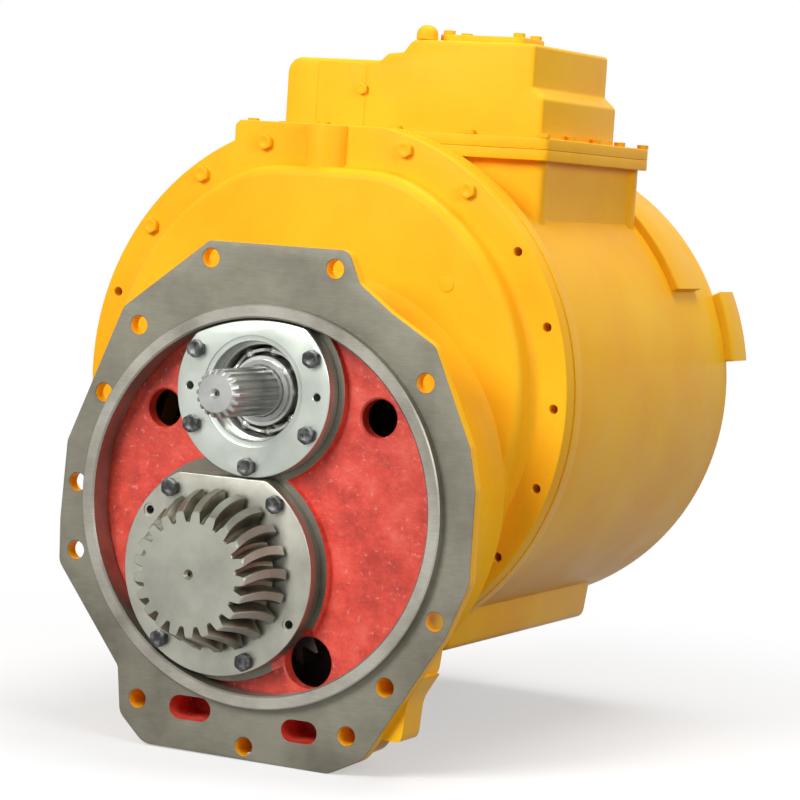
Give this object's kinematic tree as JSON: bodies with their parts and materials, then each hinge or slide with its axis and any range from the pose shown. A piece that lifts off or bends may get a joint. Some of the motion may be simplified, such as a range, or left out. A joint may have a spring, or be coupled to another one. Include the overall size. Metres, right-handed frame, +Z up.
{
  "type": "bulldozer power-shift gearbox",
  "caption": "Free-standing power-shift gearbox with a bolting flange, splined input shaft, spiral bevel output pinion, planetary train in clutch housings and a control valve under a top cover.",
  "frame": {"origin": "bottom centre of the bounding box, under the gearbox at the level of the lower edge of the front flange", "axes": "+Z up, +Y along the shafts from the front flange towards the rear cover, +X to the right as seen from the front"},
  "size_m": [0.6354, 0.878, 0.8623],
  "materials": {
    "breather": "satin yellow paint on rough casting",
    "centre_support": "machined casting",
    "direction_spool": "machined steel",
    "drive_gear": "oiled ground gear steel",
    "driven_gear": "oiled ground gear steel",
    "forward_clutch_disc_1": "bonded friction lining",
    "forward_clutch_disc_2": "bonded friction lining",
    "forward_clutch_housing": "machined casting",
    "forward_clutch_piston": "ground steel",
    "forward_clutch_plate": "ground steel",
    "forward_planet_1": "oiled ground gear steel",
    "forward_planet_2": "oiled ground gear steel",
    "forward_planet_3": "oiled ground gear steel",
    "forward_ring_gear": "oiled ground gear steel",
    "forward_sun_gear": "oiled ground gear steel",
    "front_case": "satin yellow paint on rough casting",
    "input_bearing_ball_cage": "machined steel",
    "input_bearing_cover": "machined steel",
    "input_bearing_inner_ring": "machined steel",
    "input_bearing_outer_ring": "machined steel",
    "input_cover_bolt_1": "blackened bolt",
    "input_cover_bolt_2": "blackened bolt",
    "input_cover_bolt_3": "blackened bolt",
    "input_cover_bolt_4": "blackened bolt",
    "input_cover_bolt_5": "blackened bolt",
    "input_rear_bearing": "machined steel",
    "input_shaft": "machined steel",
    "input_snap_ring": "blackened spring steel",
    "main_case": "satin yellow paint on rough casting",
    "output_sleeve": "machined steel",
    "pinion_bearing_cage": "machined steel",
    "pinion_bearing_cone": "machined steel",
    "pinion_bearing_cup": "machined steel",
    "pinion_cage_bolt_1": "blackened bolt",
    "pinion_cage_bolt_2": "blackened bolt",
    "pinion_cage_bolt_3": "blackened bolt",
    "pinion_cage_bolt_4": "blackened bolt",
    "pinion_shaft": "oiled ground gear steel",
    "pinion_spacer": "machined steel",
    "pinion_tail_bearing": "machined steel",
    "planet_carrier": "oiled ground gear steel",
    "rear_cover": "satin yellow paint on rough casting",
    "sleeve_bearing": "machined steel",
    "speed_clutch_disc_1": "bonded friction lining",
    "speed_clutch_disc_2": "bonded friction lining",
    "speed_clutch_housing": "machined casting",
    "speed_clutch_piston": "ground steel",
    "speed_clutch_plate": "ground steel",
    "speed_planet_1": "oiled ground gear steel",
    "speed_planet_2": "oiled ground gear steel",
    "speed_planet_3": "oiled ground gear steel",
    "speed_ring_gear": "oiled ground gear steel",
    "speed_spool": "machined steel",
    "speed_sun_gear": "oiled ground gear steel",
    "top_plate": "satin yellow paint on rough casting",
    "valve_body": "machined casting",
    "valve_cover": "satin yellow paint on rough casting"
  },
  "bodies": {
    "casing": {"breather": "breather", "centre_support": "centre_support", "forward_clutch_disc_1": "forward_clutch_disc_1", "forward_clutch_disc_2": "forward_clutch_disc_2", "forward_clutch_housing": "forward_clutch_housing", "forward_clutch_plate": "forward_clutch_plate", "forward_ring_gear": "forward_ring_gear", "front_case": "front_case", "input_bearing_cover": "input_bearing_cover", "input_bearing_outer_ring": "input_bearing_outer_ring", "input_cover_bolt_1": "input_cover_bolt_1", "input_cover_bolt_2": "input_cover_bolt_2", "input_cover_bolt_3": "input_cover_bolt_3", "input_cover_bolt_4": "input_cover_bolt_4", "input_cover_bolt_5": "input_cover_bolt_5", "input_rear_bearing": "input_rear_bearing", "main_case": "main_case", "pinion_bearing_cage": "pinion_bearing_cage", "pinion_bearing_cup": "pinion_bearing_cup", "pinion_cage_bolt_1": "pinion_cage_bolt_1", "pinion_cage_bolt_2": "pinion_cage_bolt_2", "pinion_cage_bolt_3": "pinion_cage_bolt_3", "pinion_cage_bolt_4": "pinion_cage_bolt_4", "pinion_tail_bearing": "pinion_tail_bearing", "rear_cover": "rear_cover", "sleeve_bearing": "sleeve_bearing", "speed_clutch_disc_1": "speed_clutch_disc_1", "speed_clutch_disc_2": "speed_clutch_disc_2", "speed_clutch_housing": "speed_clutch_housing", "speed_clutch_plate": "speed_clutch_plate", "speed_ring_gear": "speed_ring_gear", "top_plate": "top_plate", "valve_body": "valve_body", "valve_cover": "valve_cover"},
    "input_train": {"input_shaft": "input_shaft", "input_bearing_inner_ring": "input_bearing_inner_ring", "input_snap_ring": "input_snap_ring", "forward_sun_gear": "forward_sun_gear"},
    "input_bearing_balls": {"input_bearing_ball_cage": "input_bearing_ball_cage"},
    "planet_carrier": {"planet_carrier": "planet_carrier"},
    "output_train": {"output_sleeve": "output_sleeve", "drive_gear": "drive_gear", "speed_sun_gear": "speed_sun_gear"},
    "pinion_train": {"pinion_shaft": "pinion_shaft", "pinion_bearing_cone": "pinion_bearing_cone", "pinion_spacer": "pinion_spacer", "driven_gear": "driven_gear"},
    "speed_piston": {"speed_clutch_piston": "speed_clutch_piston"},
    "forward_piston": {"forward_clutch_piston": "forward_clutch_piston"},
    "direction_spool": {"direction_spool": "direction_spool"},
    "speed_spool": {"speed_spool": "speed_spool"},
    "forward_planet_1": {"forward_planet_1": "forward_planet_1"},
    "forward_planet_2": {"forward_planet_2": "forward_planet_2"},
    "forward_planet_3": {"forward_planet_3": "forward_planet_3"},
    "speed_planet_1": {"speed_planet_1": "speed_planet_1"},
    "speed_planet_2": {"speed_planet_2": "speed_planet_2"},
    "speed_planet_3": {"speed_planet_3": "speed_planet_3"}
  },
  "joints": [
    {"name": "input_spin", "type": "hinge", "parent": "casing", "child": "input_train", "pos_m": [0, 0, 0.424], "axis": [0, -1, 0], "continuous": true},
    {"name": "bearing_balls_spin", "type": "hinge", "parent": "casing", "child": "input_bearing_balls", "pos_m": [0, 0, 0.424], "axis": [0, -1, 0], "continuous": true},
    {"name": "carrier_spin", "type": "hinge", "parent": "casing", "child": "planet_carrier", "pos_m": [0, 0, 0.424], "axis": [0, -1, 0], "continuous": true},
    {"name": "output_spin", "type": "hinge", "parent": "casing", "child": "output_train", "pos_m": [0, 0, 0.424], "axis": [0, -1, 0], "continuous": true},
    {"name": "pinion_spin", "type": "hinge", "parent": "casing", "child": "pinion_train", "pos_m": [-0.03176, 0, 0.21642], "axis": [0, -1, 0], "continuous": true},
    {"name": "forward_planet_1_spin", "type": "hinge", "parent": "planet_carrier", "child": "forward_planet_1", "pos_m": [0, 0, 0.544], "axis": [0, -1, 0], "continuous": true},
    {"name": "forward_planet_2_spin", "type": "hinge", "parent": "planet_carrier", "child": "forward_planet_2", "pos_m": [-0.10392, 0, 0.364], "axis": [0, -1, 0], "continuous": true},
    {"name": "forward_planet_3_spin", "type": "hinge", "parent": "planet_carrier", "child": "forward_planet_3", "pos_m": [0.10392, 0, 0.364], "axis": [0, -1, 0], "continuous": true},
    {"name": "speed_planet_1_spin", "type": "hinge", "parent": "planet_carrier", "child": "speed_planet_1", "pos_m": [0, 0, 0.544], "axis": [0, -1, 0], "continuous": true},
    {"name": "speed_planet_2_spin", "type": "hinge", "parent": "planet_carrier", "child": "speed_planet_2", "pos_m": [-0.10392, 0, 0.364], "axis": [0, -1, 0], "continuous": true},
    {"name": "speed_planet_3_spin", "type": "hinge", "parent": "planet_carrier", "child": "speed_planet_3", "pos_m": [0.10392, 0, 0.364], "axis": [0, -1, 0], "continuous": true},
    {"name": "speed_piston_slide", "type": "slide", "parent": "casing", "child": "speed_piston", "axis": [0, 1, 0], "range_m": [0, 0.003]},
    {"name": "forward_piston_slide", "type": "slide", "parent": "casing", "child": "forward_piston", "axis": [0, 1, 0], "range_m": [0, 0.003]},
    {"name": "direction_spool_slide", "type": "slide", "parent": "casing", "child": "direction_spool", "axis": [1, 0, 0], "range_m": [0, 0.024]},
    {"name": "speed_spool_slide", "type": "slide", "parent": "casing", "child": "speed_spool", "axis": [1, 0, 0], "range_m": [0, 0.024]}
  ],
  "couplings": [
    {"joint": "bearing_balls_spin", "follows": "input_spin", "ratio": 0.43316},
    {"joint": "carrier_spin", "follows": "input_spin", "ratio": 0.25},
    {"joint": "output_spin", "follows": "input_spin", "ratio": 0.83333},
    {"joint": "pinion_spin", "follows": "input_spin", "ratio": -0.55556},
    {"joint": "forward_planet_1_spin", "follows": "input_spin", "ratio": -0.75},
    {"joint": "forward_planet_2_spin", "follows": "input_spin", "ratio": -0.75},
    {"joint": "forward_planet_3_spin", "follows": "input_spin", "ratio": -0.75},
    {"joint": "speed_planet_1_spin", "follows": "input_spin", "ratio": -0.875},
    {"joint": "speed_planet_2_spin", "follows": "input_spin", "ratio": -0.875},
    {"joint": "speed_planet_3_spin", "follows": "input_spin", "ratio": -0.875}
  ]
}
